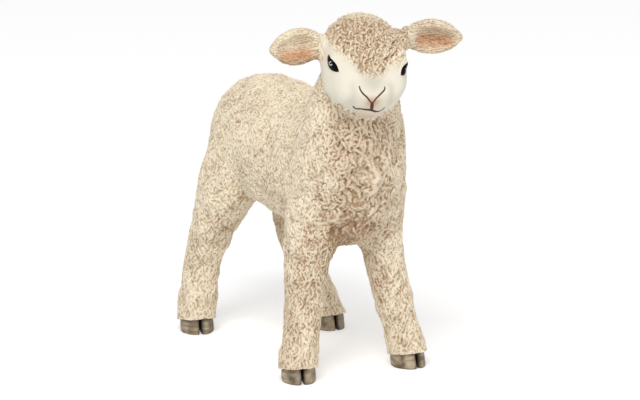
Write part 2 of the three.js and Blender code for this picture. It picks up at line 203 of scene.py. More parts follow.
def soft_lamp(name, place, size, power):
    """A square lamp that faces the middle of the lamb"""
    lamp = bpy.data.objects.new(name, bpy.data.lights.new(name, "AREA"))
    lamp.data.size = size
    lamp.data.energy = power
    lamp.location = place
    lamp.rotation_euler = (Vector(place) - aim).to_track_quat("Z", "Y").to_euler()
    scene.collection.objects.link(lamp)


soft_lamp("window", (-0.22, -0.26, 0.42), 0.22, 1.45)
soft_lamp("reflector", (0.35, -0.40, 0.16), 0.30, 0.45)

TENT_LIGHT = 0.56
world = bpy.data.worlds.new("light_tent")
scene.world = world
world.use_nodes = True
background = world.node_tree.nodes["Background"]
background.inputs["Color"].default_value = (1, 1, 1, 1)
node = node_maker(world.node_tree)
path = node("ShaderNodeLightPath", {})
seen = math_of(node, "MAXIMUM", path.outputs["Is Camera Ray"], path.outputs["Is Transmission Ray"])
world.node_tree.links.new(ranged(node, seen, to_low=TENT_LIGHT), background.inputs["Strength"])
print("the tent lights the lamb at", TENT_LIGHT)

# %% [markdown]
# ## From moulding to skin
#
# The mouldings meet along glued seams, but the wool runs across most of them, so the wool is worked
# on one skin and cut into mouldings afterwards. Copies of the CAD nodes are swollen a little, until
# they touch, and a voxel remesh makes them one skin of even squares. Smoothing takes its steps out.
# A closed hollow inside, such as a socket, would stay as a shell of its own, so it is dropped.

# %% Skin helpers


def swell(bm, reach):
    """Moves a skin out along its normals by so many millimetres"""
    bm.normal_update()
    for vert, way in [(vert, vert.normal.copy()) for vert in bm.verts]:
        vert.co += way * reach * MM


def node_copies(*names, grow=0.0):
    """CAD nodes as one bmesh, with their loose triangles merged, swollen by `grow` millimetres"""
    bm = bmesh.new()
    for name in names:
        bm.from_mesh(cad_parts[name].data)
    bmesh.ops.remove_doubles(bm, verts=bm.verts, dist=1e-6)
    swell(bm, grow)
    return bm


def after_modifier(bm, kind, **settings):
    """The mesh that a modifier makes of a bmesh, as a new bmesh"""
    holder = bpy.data.objects.new("holder", mesh_of(bm, "holder"))
    scene.collection.objects.link(holder)
    modifier = holder.modifiers.new(kind, kind)
    for key, value in settings.items():
        setattr(modifier, key, value)
    made = bmesh.new()
    made.from_object(holder, bpy.context.evaluated_depsgraph_get())
    bpy.data.meshes.remove(holder.data)
    return made


def drop_small_shells(bm):
    """Keeps only the shell with the most vertices"""
    left, shells = set(bm.verts), []
    while left:
        edge = [left.pop()]
        shell = list(edge)
        while edge:
            near = {e.other_vert(vert) for vert in edge for e in vert.link_edges} & left
            left -= near
            edge = list(near)
            shell += edge
        shells.append(shell)
    shells.sort(key=len)
    bmesh.ops.delete(bm, geom=[vert for shell in shells[:-1] for vert in shell], context="VERTS")


def even_skin(bm, voxel, smoothing, shrink=0.0):
    """One closed skin of even squares, `voxel` millimetres wide, round whatever the bmesh holds. It
    can be shrunk again by as much as the copies were swollen"""
    bm = after_modifier(bm, "REMESH", mode="VOXEL", voxel_size=voxel * MM)
    drop_small_shells(bm)
    for _ in range(smoothing):
        bmesh.ops.smooth_vert(bm, verts=bm.verts, factor=0.5, use_axis_x=True, use_axis_y=True, use_axis_z=True)
    swell(bm, -shrink)
    return bm


def cut_through(bm, point, normal, near, dist=0.02 * MM, **options):
    """Cuts a plane into the faces that are near. Vertices within `dist` of it count as on it. The
    faces, edges and vertices go in once each, in the same order every run"""
    faces = [face for face in bm.faces if near(face.calc_center_median())]
    around = list(dict.fromkeys(item for face in faces for item in (face, *face.edges, *face.verts)))
    bmesh.ops.bisect_plane(bm, geom=around, plane_co=point, plane_no=normal, dist=dist, **options)


def cut_away(bm, point, normal, near=lambda middle: True):
    """Takes away what lies past a plane, of the faces that are near. The cut is closed with a flat
    face, and its edge is creased, so that it stays sharp in a subdivision"""
    crease = bm.edges.layers.float.get("crease_edge") or bm.edges.layers.float.new("crease_edge")
    cut_through(bm, point, normal, near, dist=0, clear_outer=True)
    rim = [edge for edge in bm.edges if edge.is_boundary]
    bmesh.ops.holes_fill(bm, edges=rim)
    for edge in rim:
        edge[crease] = 1.0


print("a cut keeps vertices within", cut_through.__defaults__[0] / MM, "mm of it")

# %% [markdown]
# ## The head's own frame
#
# The face is easier to work on when the head looks straight ahead. In the head's frame the muzzle
# points to -Y and the middle of the skull is the origin. The head is turned 15 degrees to the lamb's
# right, nods by 32 and leans by 4, and its middle is at the end of the neck.

# %% Head frame
head_place = Matrix.Translation(Vector((0.402, -15.140, 43.4)) * MM) @ Euler(
    [math.radians(angle) for angle in (32, 4, -15)]
).to_matrix().to_4x4()
head_axes = np.array(head_place.to_3x3())
head_middle = np.array(head_place.translation) / MM


def in_head(points):
    return (points - head_middle) @ head_axes


def from_head(points):
    return points @ head_axes.T + head_middle


def seen_from(place, points):
    """Points in another frame than the head's"""
    back = np.array(place.inverted())
    return points @ back[:3, :3].T + back[:3, 3] / MM


muzzle_way = head_place.to_3x3() @ Vector((0, -1, 0))
print("the muzzle points to", [round(value, 2) for value in muzzle_way])

# %% [markdown]
# ## Coarse skin of the body
#
# The wool of the neck has to come out from under the jaw with no gap, so a copy of the head that is
# a little too small is part of this skin. What would be deep inside the head is then cut away. In the
# same way the legs run on over swollen copies of the hooves, and are cut off at the hem.

# %% Coarse skin of the body
TOE_OUT = {"front_right": -14, "front_left": 6, "hind_right": -14, "hind_left": 4}
HEM_HEIGHT, HEM_ANGLE = 1.85 * MM, math.radians(9)
FOOT_HEIGHT, FOOT_REACH, LEG_REACH = 5 * MM, 8 * MM, 5 * MM
NECK_END = -0.8 * MM  # in the head's frame
wool_nodes = ["front_body", "rear_body", *(f"{name}_leg" for name in TOE_OUT)]


def foot_frame(name):
    """The middle of a foot on the ground, turned so that the toe is at its -Y"""
    low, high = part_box(f"{name}_hoof")
    turn = Matrix.Rotation(math.radians(TOE_OUT[name]), 4, "Z")
    return Matrix.Translation(((low.x + high.x) / 2, (low.y + high.y) / 2, 0)) @ turn


under_wool = node_copies(*wool_nodes, grow=0.2)
for core in (node_copies("head", grow=-0.35), node_copies(*(f"{name}_hoof" for name in TOE_OUT), grow=0.75)):
    under_wool.from_mesh(mesh_of(core, "filler"))
coarse = even_skin(under_wool, voxel=0.5, smoothing=5, shrink=0.2)
cut_away(coarse, head_place @ Vector((0, 0, NECK_END)), head_place.to_3x3() @ Vector((0, 0, 1)))
hem_normal = Vector((0, -math.sin(HEM_ANGLE), -math.cos(HEM_ANGLE)))
for name in TOE_OUT:
    foot = foot_frame(name)
    cut_away(
        coarse,
        foot @ Vector((0, 0, HEM_HEIGHT)),
        foot.to_3x3() @ hem_normal,
        lambda middle: middle.z < FOOT_HEIGHT and (middle - foot.translation).length < FOOT_REACH,
    )
print("the coarse skin has", len(coarse.faces), "faces")

# %% [markdown]
# ## Tufts under the locks
#
# The solids already carry the wool as plain tufts, and smoothing has made soft mounds of them. They
# stand in even rows, as no wool does, so a little noise pushes each of them about.

# %% Tufts made uneven
STRAY = 0.22
for vert in coarse.verts:
    place = vert.co / MM
    stray = noise.noise(place / 2.2) * 0.6 + noise.noise(place / 1.2) * 0.3
    vert.co += vert.normal * stray * STRAY * MM
print("noise moves the tufts by up to about", round(STRAY * 0.6, 2), "mm")

# %% [markdown]
# ## Seams
#
# The planes of the seams come from the boxes of the CAD nodes. Each plane is cut into the coarse
# skin, so that the edges of the squares lie on it, and each face notes which moulding it belongs to.
# The note is the material index, because a subdivision hands that on to the small faces by itself.

# %% Seams cut into the coarse skin
seam_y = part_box("front_body")[1].y
front_seam_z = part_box("front_body")[0].z
hind_seam_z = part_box("rear_body")[0].z
middle_x = (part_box("tail")[0].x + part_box("tail")[1].x) / 2
pieces_of_wool = ["front_body", "rear_body_right", "rear_body_left", *wool_nodes[2:]]

cut_through(coarse, (0, 0, front_seam_z), (0, 0, 1), lambda middle: middle.y < 0)
cut_through(coarse, (0, 0, hind_seam_z), (0, 0, 1), lambda middle: middle.y > 0)
cut_through(coarse, (0, seam_y, 0), (0, 1, 0), lambda middle: middle.z > front_seam_z)
cut_through(coarse, (middle_x, 0, 0), (1, 0, 0), lambda middle: middle.y > seam_y)

for face in coarse.faces:
    middle = face.calc_center_median()
    rear_name = "rear_body_right" if middle.x < middle_x else "rear_body_left"
    face.material_index = pieces_of_wool.index("front_body" if middle.y < seam_y else rear_name)
for name in TOE_OUT:
    foot, height = foot_frame(name).translation, front_seam_z if name.startswith("front") else hind_seam_z
    below = {face for face in coarse.faces if face.calc_center_median().z < height}
    leg = {face for face in below if (face.calc_center_median() - foot).length < LEG_REACH}
    edge = set(leg)
    while edge:
        edge = {near.face for face in edge for side in face.loops for near in side.link_loops} & below - leg
        leg |= edge
    for face in leg:
        face.material_index = pieces_of_wool.index(f"{name}_leg")
print("the seams are at y", round(seam_y / MM, 2), "and z", round(front_seam_z / MM, 2), round(hind_seam_z / MM, 2))

# %% [markdown]
# ## Locks of wool
#
# A lock is a short ridge that lies on the skin and bends into a C or an S. Thousands of them overlap
# like tiles, each with its tip a little proud of the next. Each lock is a path that walks over the
# skin, and every point of the fine skin rises to the highest lock that passes over it. That gives
# real relief with sharp hollows between, which a bump from noise never does.
#
# Where the locks are long or short, wild or combed, comes from a table of kinds of wool. Every point
# of the skin holds a share of each kind.

# %% Kinds of wool
KINDS = {
    #          spacing, length, width, height, bend, wander, wash, clump height
    "flank": (0.38, 0.85, 0.45, 0.32, 100, 55, 0.14, 0.30),
    "leg": (0.38, 1.05, 0.43, 0.30, 80, 32, 0.45, 0.26),
    "chest": (0.46, 1.30, 0.56, 0.42, 110, 38, 1.05, 0.66),
    "bib": (0.74, 2.20, 0.92, 0.66, 125, 36, 1.20, 0.85),
    "cap": (0.42, 0.95, 0.52, 0.44, 90, 42, 1.30, 0.55),
    "ear": (0.42, 1.70, 0.33, 0.15, 25, 12, 0.75, 0.0),
}
CLUMP_SCALE = np.array([3.0, 2.0, 3.4, 1.0, 0.6, 0.8, 1.0, 1.0])  # from a lock to a clump of locks


def soft_step(value, low, high):
    """0 below `low`, 1 above `high`, and smooth between"""
    share = np.clip((value - low) / (high - low), 0, 1)
    return share * share * (3 - 2 * share)


def bell(gap, reach):
    """1 at no gap, and smoothly down to nearly 0 at twice the reach"""
    return np.exp(-((gap / reach) ** 2))


def mixed_kinds(shares):
    """The table's values at every point, from {kind: share at every point}"""
    total = sum(shares.values())
    return sum(share[:, None] * np.array(KINDS[kind]) for kind, share in shares.items()) / total[:, None]


print("there are", len(KINDS), "kinds of wool")

# %% Points of a mesh, in millimetres


def points_of(mesh):
    points = np.empty(len(mesh.vertices) * 3)
    mesh.vertices.foreach_get("co", points)
    normals = np.empty_like(points)
    mesh.vertex_normals.foreach_get("vector", normals)
    return points.reshape(-1, 3) / MM, normals.reshape(-1, 3)


def set_points(mesh, points):
    mesh.vertices.foreach_set("co", (points * MM).ravel())
    mesh.update()


def set_attribute(mesh, name, values):
    """One number for each vertex, which a material can read"""
    layer = mesh.attributes.get(name) or mesh.attributes.new(name, "FLOAT", "POINT")
    layer.data.foreach_set("value", np.asarray(values, np.float32))


def fine_mesh(bm, name):
    """The mesh of a coarse skin after subdivision, and the coarse surface for locks to walk on"""
    surface = BVHTree.FromBMesh(bm)
    bm = after_modifier(bm, "SUBSURF", levels=2, render_levels=2)
    return mesh_of(bm, name), surface


print("a lock of the flank is", KINDS["flank"][2], "mm wide")

# %% Locks
STEPS, SNAKES, BARE = 7, 0.45, 0.12  # steps of a lock, share of S shapes, relief of a bare spot


def lock_path(surface, start, lie, length, bend, snake):
    """Points of one lock, walking over a surface from `start` the way it should lie"""
    place, normal, _, _ = surface.find_nearest(start)
    heading = (lie - normal * lie.dot(normal)).normalized()
    heading = Matrix.Rotation(-bend / 2, 3, normal) @ heading
    path = [place]
    for step in range(STEPS):
        turn = bend / STEPS if not snake or step < STEPS / 2 else -bend / STEPS
        place, normal, _, _ = surface.find_nearest(place + heading * (length / STEPS))
        heading = Matrix.Rotation(turn, 3, normal) @ (heading - normal * heading.dot(normal)).normalized()
        path.append(place)
    return np.array(path) / MM


def tree_of(points):
    tree = KDTree(len(points))
    for index, point in enumerate(points):
        tree.insert(point, index)
    tree.balance()
    return tree


def gaps_to_path(points, tree, path, width):
    """The points near a path, how far each is from every step of it, and how far down it that is"""
    middle = (path[0] + path[-1]) / 2
    reach = np.linalg.norm(path - middle, axis=1).max() + width
    near = np.array([found[1] for found in tree.find_range(middle, reach)], int)
    offset = points[near][:, None, :] - path[None, :-1, :]
    along = (path[1:] - path[:-1])[None]
    share = np.clip((offset * along).sum(2) / np.maximum((along * along).sum(2), 1e-9), 0, 1)
    gap = np.linalg.norm(offset - share[..., None] * along, axis=2)
    return near, gap, (np.arange(len(path) - 1)[None] + share) / (len(path) - 1)


def lay_locks(points, normals, kinds, surface, lie_at, where=None, seed=1):
    """How high the locks stand at every point, as a share of the height of the wool there. Once the
    skin is covered, shorter locks fill the bare spots that are left between"""
    rng = random.Random(seed)
    tree = tree_of(points)
    relief = np.zeros(len(points))
    count = 0
    for size, spread in ((1, 1), (0.7, 0.9)):
        free = relief < BARE if count else np.ones(len(points), bool)
        if where is not None:
            free &= where
        order = list(np.flatnonzero(free))
        rng.shuffle(order)
        for start in order:
            if not free[start]:
                continue
            spacing, length, width, _, bend, wander = kinds[start][:6]
            free[[found[1] for found in tree.find_range(points[start], spacing * spread)]] = False
            lie = lie_at(points[start], normals[start])
            lie.rotate(Matrix.Rotation(math.radians(rng.gauss(0, wander)), 3, Vector(normals[start])))
            length *= size * rng.uniform(0.7, 1.3)
            width *= rng.uniform(0.7, 1.25)
            bend = math.radians(bend) * rng.uniform(0.5, 1.2) * rng.choice((-1, 1))
            path = lock_path(surface, Vector(points[start]) * MM, lie, length * MM, bend, rng.random() < SNAKES)
            level = rng.uniform(0.3, 0.8)
            near, gap, down = gaps_to_path(points, tree, path, width / 2)
            if not len(near):
                continue
            half = width / 2 * np.sqrt(np.sin(math.pi * (0.08 + 0.87 * down))) * (1.2 - 0.5 * down)
            round_top = np.clip(1 - (gap / half) ** 2, 0, 1) ** 0.65
            stand = (round_top * (level + 0.2 * down)).max(1)
            relief[near] = np.maximum(relief[near], stand)
            count += 1
    return relief, count


# %% Clumps of locks


def raise_clumps(bm, kinds_at, lie_at, share_at=None, seed=1):
    """Lifts a coarse skin into clumps, and has it hold how far each point is a crest or a hollow"""
    crest_layer = bm.verts.layers.float.new("clump")
    bm.normal_update()
    points = np.array([vert.co for vert in bm.verts]) / MM
    normals = np.array([vert.normal for vert in bm.verts])
    share = np.ones(len(points)) if share_at is None else share_at(points)
    kinds = kinds_at(points, normals) * CLUMP_SCALE
    relief, count = lay_locks(points, normals, kinds, BVHTree.FromBMesh(bm), lie_at, share > 0.1, seed)
    for vert, stand, height in zip(bm.verts, (relief - 0.5) * share, kinds[:, 7]):
        vert[crest_layer] = stand
        vert.co += vert.normal * stand * height * MM
    bm.normal_update()
    return count


print("a clump reaches over about", CLUMP_SCALE[2], "locks side by side")

# %% Relief and wash


def neighbour_mean(mesh, values, rounds):
    """Values after each point has taken the mean of its neighbours' a few times"""
    ends = np.empty(len(mesh.edges) * 2, np.int32)
    mesh.edges.foreach_get("vertices", ends)
    first, second = ends.reshape(-1, 2).T
    count = np.bincount(ends, minlength=len(values))
    for _ in range(rounds):
        total = np.bincount(first, values[second], len(values)) + np.bincount(second, values[first], len(values))
        values = total / count
    return values


def attribute_of(mesh, name):
    values = np.empty(len(mesh.vertices), np.float32)
    mesh.attributes[name].data.foreach_get("value", values)
    return values


def note_wool(mesh, relief, kinds):
    """Has the mesh hold how far each point is a crest or a hollow, and how much wash is left there.
    Wash gathers between the locks, and more of it between the clumps. A heavy wash dulls the crests too"""
    crest = relief - neighbour_mean(mesh, relief, 5)
    clump = attribute_of(mesh, "clump")
    # Low on the chest between the front legs the heavy wash is painted shade, so the crests dulled there are painted
    # shade too
    dull = 0.4 * np.maximum(kinds[:, 6] - 1.1, 0)
    set_attribute(mesh, "relief", np.clip(0.50 - dull + 1.6 * crest + 0.25 * (relief - 0.4) + 0.3 * clump, 0, 1))
    set_attribute(mesh, "wash", np.clip(kinds[:, 6] - 0.9 * clump, 0, 1))


def grow_wool(coarse, name, kinds_at, seed=1, thin=lambda points, kinds: None):
    """The fine mesh of a coarse skin with clumps and locks on it. The kinds can be thinned after the
    locks are laid"""
    clump_count = raise_clumps(coarse, kinds_at, body_lie, seed=seed)
    mesh, surface = fine_mesh(coarse, name)
    points, normals = points_of(mesh)
    kinds = kinds_at(points, normals)
    relief, lock_count = lay_locks(points, normals, kinds, surface, body_lie, seed=seed)
    thin(points, kinds)
    set_points(mesh, points + normals * ((relief - 0.5) * kinds[:, 3])[:, None])
    note_wool(mesh, relief, kinds)
    print(name, "has", clump_count, "clumps and", lock_count, "locks on", len(points), "points")
    return mesh


print("the wash gathers in the hollows")

# %% Wool on the body and the legs


def body_kinds(points, normals):
    height = points[:, 2]
    leg = 1 - soft_step(height, 13, 19)
    forward = soft_step(-normals[:, 1], 0.25, 0.8) * soft_step(-points[:, 1], 9, 12)
    chest = forward * soft_step(height, 16, 20) * (1 - 0.5 * soft_step(np.abs(points[:, 0] - 0.6), 3, 6))
    bib = chest * soft_step(height, 18, 21) * (1 - soft_step(height, 31, 35))
    bib *= 1 - soft_step(np.abs(points[:, 0] + 0.4), 2.2, 3.8)
    shares = {"leg": leg, "bib": bib, "chest": chest - bib, "flank": 1 - chest}
    kinds = mixed_kinds({kind: share * (1 if kind == "leg" else 1 - leg) for kind, share in shares.items()})
    # Painted shade: more wash, so a browner colour, low on the chest between the front legs, and on the front legs,
    # most on the right one
    shade_between_legs = bell(points[:, 0] + 1.5, 4.5) * bell(height - 17, 4)
    front_leg_shade = (0.34 - 0.26 * soft_step(points[:, 0], -3, 3)) * leg * soft_step(-points[:, 1], 5, 8)
    kinds[:, 6] += 1.4 * shade_between_legs * soft_step(-points[:, 1], 7, 10) + front_leg_shade  # browner wash
    return kinds


def body_lie(point, normal):
    """Wool falls down, and on the back it lies towards the tail"""
    return Vector((0, 0.35 if point[2] > 20 else 0.0, -1))


def thin_body(points, kinds):
    """The wool is low and pale along the seam behind the shoulders, and low at the hems"""
    seam = bell(points[:, 1] - seam_y / MM, 0.8) * soft_step(points[:, 2], 17, 22)
    kinds[:, 3] *= (1 - 0.55 * seam) * soft_step(points[:, 2], 0.6, 4.2)
    kinds[:, 6] *= 1 - seam


wool_mesh = grow_wool(coarse, "body_wool", body_kinds, thin=thin_body)

# %% [markdown]
# ## Wool cut into mouldings
#
# The fine skin is now copied once for each moulding, and the faces of the others are deleted. Every
# open seam is closed with a fan of triangles about its middle, so that each moulding is a solid of
# its own. Where two seams meet at a corner, one more triangle joins their fans. The rim is marked
# sharp, or the shading would bend round it and draw a dark line along the seam.

# %% Mouldings


def finish_piece(mesh, slot, *nodes):
    """Puts a mesh into the scene as a piece of its name, which stands for CAD nodes"""
    piece = bpy.data.objects.new(mesh.name, mesh)
    scene.collection.objects.link(piece)
    for face in mesh.polygons:
        face.use_smooth = True
    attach(piece, "root")
    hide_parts(*nodes)
    return piece


def seam_between(*names):
    """The name of the seam between two mouldings"""
    limbs = [name for name in names if name.endswith(("leg", "ear"))]
    return limbs[0] if limbs else "shoulder" if "front_body" in names else "spine"


def close_seam(bm, rim):
    """Closes a seam with a fan of triangles about its middle, which it gives back"""
    ends = [vert.co for edge in rim for vert in edge.verts]
    middle = bm.verts.new(sum(ends, Vector()) / len(ends))
    for edge in rim:
        edge.smooth = False
        side = edge.link_loops[0]
        bm.faces.new((side.link_loop_next.vert, side.vert, middle))
    return middle


def moulding_of(mesh, index, names, title):
    """The faces of one moulding as a mesh of their own, closed at the seams"""
    bm = bmesh.new()
    bm.from_mesh(mesh)
    seams = {}
    for edge in bm.edges:
        sides = {face.material_index for face in edge.link_faces}
        if index in sides and len(sides) == 2:
            seams.setdefault(seam_between(*(names[side] for side in sides)), []).append(edge)
    bmesh.ops.delete(bm, geom=[face for face in bm.faces if face.material_index != index], context="FACES")
    middles = [close_seam(bm, rim) for rim in seams.values()]
    for spoke in [edge for edge in bm.edges if edge.is_boundary and edge.link_loops[0].vert not in middles]:
        side = spoke.link_loops[0]
        corner, middle = side.vert, side.link_loop_next.vert
        other = [edge.other_vert(corner) for edge in corner.link_edges if edge.is_boundary and edge != spoke]
        bm.faces.new((middle, corner, *other))
    for face in bm.faces:
        face.material_index = 0
    open_edges = sum(edge.is_boundary for edge in bm.edges)
    print(title, len(bm.faces), "faces,", open_edges, "open edges")
    return mesh_of(bm, title)


def cut_up(mesh, names, ending, slots):
    """A whole skin as its mouldings, each with the CAD node that it stands for"""
    pieces = []
    for index, (name, slot) in enumerate(zip(names, slots)):
        part = moulding_of(mesh, index, names, f"{name}_{ending}")
        pieces.append(finish_piece(part, slot, "rear_body" if name.startswith("rear") else name))
    return pieces


wool_pieces = cut_up(wool_mesh, pieces_of_wool, "wool", ["wool"] * len(pieces_of_wool))

# %% [markdown]
# ## Head and ears as one skin
#
# The ears grow out of the head without a step, so head and ears are worked as one skin too, finer
# than the body's, and cut apart at each ear's root. The copies of the eyes only fill their sockets.

# %% Coarse skin of the head
under_skin = node_copies("head", "right_ear", "left_ear", "right_eye", "left_eye", grow=0.16)
head_coarse = even_skin(under_skin, voxel=0.36, smoothing=4, shrink=0.16)
print("the coarse skin of the head has", len(head_coarse.faces), "faces")

# %% [markdown]
# ## Modelling the face
#
# A sculptor pushes clay with a thumb: the middle of the push moves most, and its surroundings less.
# Each line of the table is one such push, with its place in the head's frame, its reach and its way.
# Pushes at both sides of the face are mirrored about its middle.

# %% Pushes
PUSHES = [
    # place, reach, way, both sides?
    ((4.9, -4.4, 0.9), 1.2, (-0.22, 0.16, 0.0), True),  # the hollow that the eye lies in
    ((4.3, -2.9, 2.7), 1.2, (0.18, -0.05, 0.18), True),  # brow
    ((5.0, -4.6, -1.6), 1.9, (0.22, -0.10, 0.0), True),  # cheek
    ((2.3, -6.6, 2.2), 1.3, (-0.20, 0.0, -0.28), True),  # beside the bridge of the nose
    ((1.7, -8.2, 1.1), 0.8, (0.16, -0.20, 0.10), True),  # wing of a nostril
    ((3.2, -7.8, -1.0), 1.6, (0.14, -0.14, 0.0), True),  # side of the muzzle
    ((2.9, -7.5, 0.8), 0.9, (-0.14, 0.22, 0.0), True),  # the hollow between the muzzle and the cheek
    ((1.2, -9.0, -0.9), 0.8, (0.06, -0.22, 0.0), True),  # upper lip
    ((0.0, -8.6, -3.0), 1.1, (0.0, -0.30, -0.05), False),  # chin
    ((0.0, -8.9, 0.9), 0.8, (0.0, -0.18, 0.08), False),  # tip of the nose
]


def pushed(points):
    for place, reach, way, both in PUSHES:
        for side in (1, -1) if both else (1,):
            centre = np.array(place) * (side, 1, 1)
            weight = bell(np.linalg.norm(points - centre, axis=1), reach)
            points = points + weight[:, None] * np.array(way) * (side, 1, 1)
    return points


before = in_head(np.array([vert.co for vert in head_coarse.verts]) / MM)
for vert, point in zip(head_coarse.verts, from_head(pushed(before))):
    vert.co = Vector(point) * MM
head_coarse.normal_update()
print("the face was pushed in", len(PUSHES), "places")

# %% Ear frames
EARS = {
    #        side, rise, lift, sweep, roll
    "right": (-1, 1, 2.5, -15, 36),
    "left": (1, 2.4, 7, -8, 20),
}
EAR_CUT, EAR_CUT_REACH, EAR_TALLER = 2.4, 3.5, 0.13


def ear_frame(name):
    side, rise, lift, sweep, roll = EARS[name]
    turn = Euler([math.radians(angle) for angle in (-roll, -side * lift, side * sweep)])
    return head_place @ Matrix.Translation(Vector((side * 4.2, 0.6, rise)) * MM) @ turn.to_matrix().to_4x4()


head_parts = ["head", "right_ear", "left_ear"]
for index, name in enumerate(EARS, start=1):
    place = ear_frame(name)
    side = EARS[name][0]
    seam = place @ Vector((side * EAR_CUT * MM, 0, 0))
    way = place.to_3x3() @ Vector((side, 0, 0))
    cut_through(head_coarse, seam, way, lambda middle: (middle - seam).length < EAR_CUT_REACH * MM)
    for face in head_coarse.faces:
        if (face.calc_center_median() - seam).dot(way) > 0:
            face.material_index = index
    to_ear = place.inverted()
    for vert in head_coarse.verts:
        out, across, up = to_ear @ vert.co
        vert.co = place @ Vector((out, across, up * (1 + EAR_TALLER * float(soft_step(out * side / MM, 1.0, 2.6)))))
head_coarse.normal_update()
print("each ear is cut off", EAR_CUT, "mm from its root, and made taller by a share of", EAR_TALLER)

# %% [markdown]
# ## Woolly cap and furry ears
#
# The wool of the crown ends in a forelock between the eyes. Its edge is a line across the forehead,
# given by a few points in the head's frame, and at the sides of the head it runs back behind the
# ears. The wool of the neck comes up over the edge of the jaw in the same way. The ears have short
# fur that lies towards the tip, and it is cut only a little way in.

# %% Where the head has wool
CAP_EDGE_X = (-5.6, -5.2, -4.8, -4.2, -3.1, -2.2, -1.8, -1.2, -0.4, 0.6, 1.6, 2.1, 3.0, 4.0, 4.6, 5.2)
CAP_EDGE_Y = (3.5, 0.8, -1.6, -3.2, -4.2, -5.1, -5.7, -6.3, -6.6, -6.6, -6.1, -5.4, -4.9, -4.5, -4.0, -2.6)
JAW_EDGE_X = (0.0, 1.5, 1.9, 2.8, 3.8, 5.0)
JAW_EDGE_DROP = (3.6, 3.0, 2.6, 2.2, 2.1, 2.3)


def past_cap_edge(local):
    """How far behind the edge of the cap a point of the head is, in millimetres. Behind the ears the
    whole head has wool"""
    x, y, z = local.T
    edge = np.interp(x, CAP_EDGE_X, CAP_EDGE_Y) + 2.4 * np.clip(1.5 - z, 0, 4)
    return y - np.minimum(edge, 0.5 + 0.9 * soft_step(-z, -0.5, 1.0))


def cap_wool(local):
    """How much of a cap of wool there is at a point of the head. Some comes up over the jaw"""
    past_jaw = -local[:, 2] - np.interp(np.abs(local[:, 0]), JAW_EDGE_X, JAW_EDGE_DROP)
    return np.maximum(soft_step(past_cap_edge(local), -0.7, 0.9), soft_step(past_jaw, -0.3, 0.4))


ear_ways = {name: ear_frame(name).to_3x3() @ Vector((EARS[name][0], 0, 0)) for name in EARS}
cap_way = head_place.to_3x3() @ Vector((0, -0.75, -0.3))
backward = Vector((0, 0.3, -1))
EARS_FROM = 5.9


def head_lie(point, normal):
    """Fur runs out along an ear. The forelock falls over the brow, and the rest falls back"""
    local = head_axes.T @ (point - head_middle)
    if abs(local[0]) > EARS_FROM:
        return ear_ways["right" if local[0] < 0 else "left"].copy()
    return (cap_way if local[1] < 1.5 and local[2] > -1 else backward).copy()


print("the forelock comes down to y", min(CAP_EDGE_Y), "in the head's frame")

# %% Fine skin of the head
clump_count = raise_clumps(
    head_coarse,
    lambda points, normals: np.tile(np.array(KINDS["cap"]) * (0.62, 0.62, 0.62, 1, 1, 1, 1, 1), (len(points), 1)),
    head_lie,
    lambda points: cap_wool(in_head(points)) * (1 - soft_step(np.abs(in_head(points)[:, 0]), 4.6, 5.4)),
    seed=4,
)
head_mesh, head_surface = fine_mesh(head_coarse, "head_and_ears")
head_points, head_normals = points_of(head_mesh)
head_local = in_head(head_points)
print("the fine skin of the head has", clump_count, "clumps and", len(head_points), "points")

# %% Cap and ear shares
cap_share = cap_wool(head_local)
ear_share = np.zeros(len(head_points))
ear_pink = np.zeros(len(head_points))
for name, (side, *_) in EARS.items():
    in_ear = seen_from(ear_frame(name), head_points)
    out = in_ear[:, 0] * side
    on_ear = soft_step(out, 1.2, 2.4) * (np.abs(in_ear[:, 1:]).max(1) < 1.3 + 0.4 * out)
    ear_share = np.maximum(ear_share, on_ear)
    to_front = np.array(ear_frame(name).to_3x3() @ Vector((0, -1, 0)))
    hollow_side = soft_step(head_normals @ to_front, 0.0, 0.6)
    low = -1.1 if name == "right" else -0.5
    band = bell(in_ear[:, 2] - low, 0.85) * soft_step(out, 1.8, 3.6) * (1 - soft_step(out, 6.6, 8.4))
    ear_pink = np.maximum(ear_pink, on_ear * hollow_side * band)
cap_share *= 1 - ear_share
print("wool covers", round(float(cap_share.mean()), 2), "of the head's skin")

# %% Locks of the cap and fur of the ears
head_kinds = mixed_kinds({"ear": ear_share + 0.001, "cap": 1.0 - ear_share})
temple = soft_step(np.abs(head_local[:, 0]), 1.6, 2.8) * soft_step(head_local[:, 2], -0.5, 0.8)
head_kinds[:, 6] -= 1.1 * temple * (1 - soft_step(past_cap_edge(head_local), 0.4, 2.0))
nape = np.maximum(soft_step(-head_local[:, 2], 0.0, 1.8), soft_step(head_local[:, 1], 1.5, 4.0)) * (1 - ear_share)
head_kinds[:, 6] += 0.8 * ear_share * (head_local[:, 0] < 0) - 0.75 * nape
woolly = (cap_share > 0.05) | (ear_share > 0.5)
head_relief, lock_count = lay_locks(head_points, head_normals, head_kinds, head_surface, head_lie, woolly, seed=2)
print("the head and ears have", lock_count, "locks")

# %% [markdown]
# ## Painted lines of the face
#
# The nostrils, the cleft under the nose and the mouth are fine brown lines, painted in shallow
# grooves. Each line is drawn on the muzzle as seen from straight ahead, laid onto the skin, and
# every point of the skin notes how far it is from the nearest line as a share of the line's width.
# A distance changes evenly from point to point, so the painted edge stays sharp between them.

# %% Lines
MOUTH = [(-2.22, -1.44), (-1.82, -1.72), (-1.32, -1.42), (-0.59, -1.46)]
MOUTH += [(0.20, -1.60), (0.9, -1.95), (1.53, -1.95), (1.88, -1.35)]
LINES = [
    # half width, groove, points as x and z from the middle of the face: two nostrils, cleft, mouth
    (0.12, 0.10, [(-1.76, 1.36), (-1.70, 1.26), (-1.40, 1.00), (-0.76, 0.56), (-0.38, 0.10), (-0.10, -0.28)]),
    (0.12, 0.10, [(1.61, 1.39), (1.48, 1.29), (0.98, 1.01), (0.40, 0.58), (0.20, 0.10), (0.07, -0.28)]),
    (0.25, 0.12, [(0.0, -0.20), (0.05, -0.70), (0.12, -1.20), (0.16, -1.56)]),
    (0.21, 0.12, MOUTH),
]


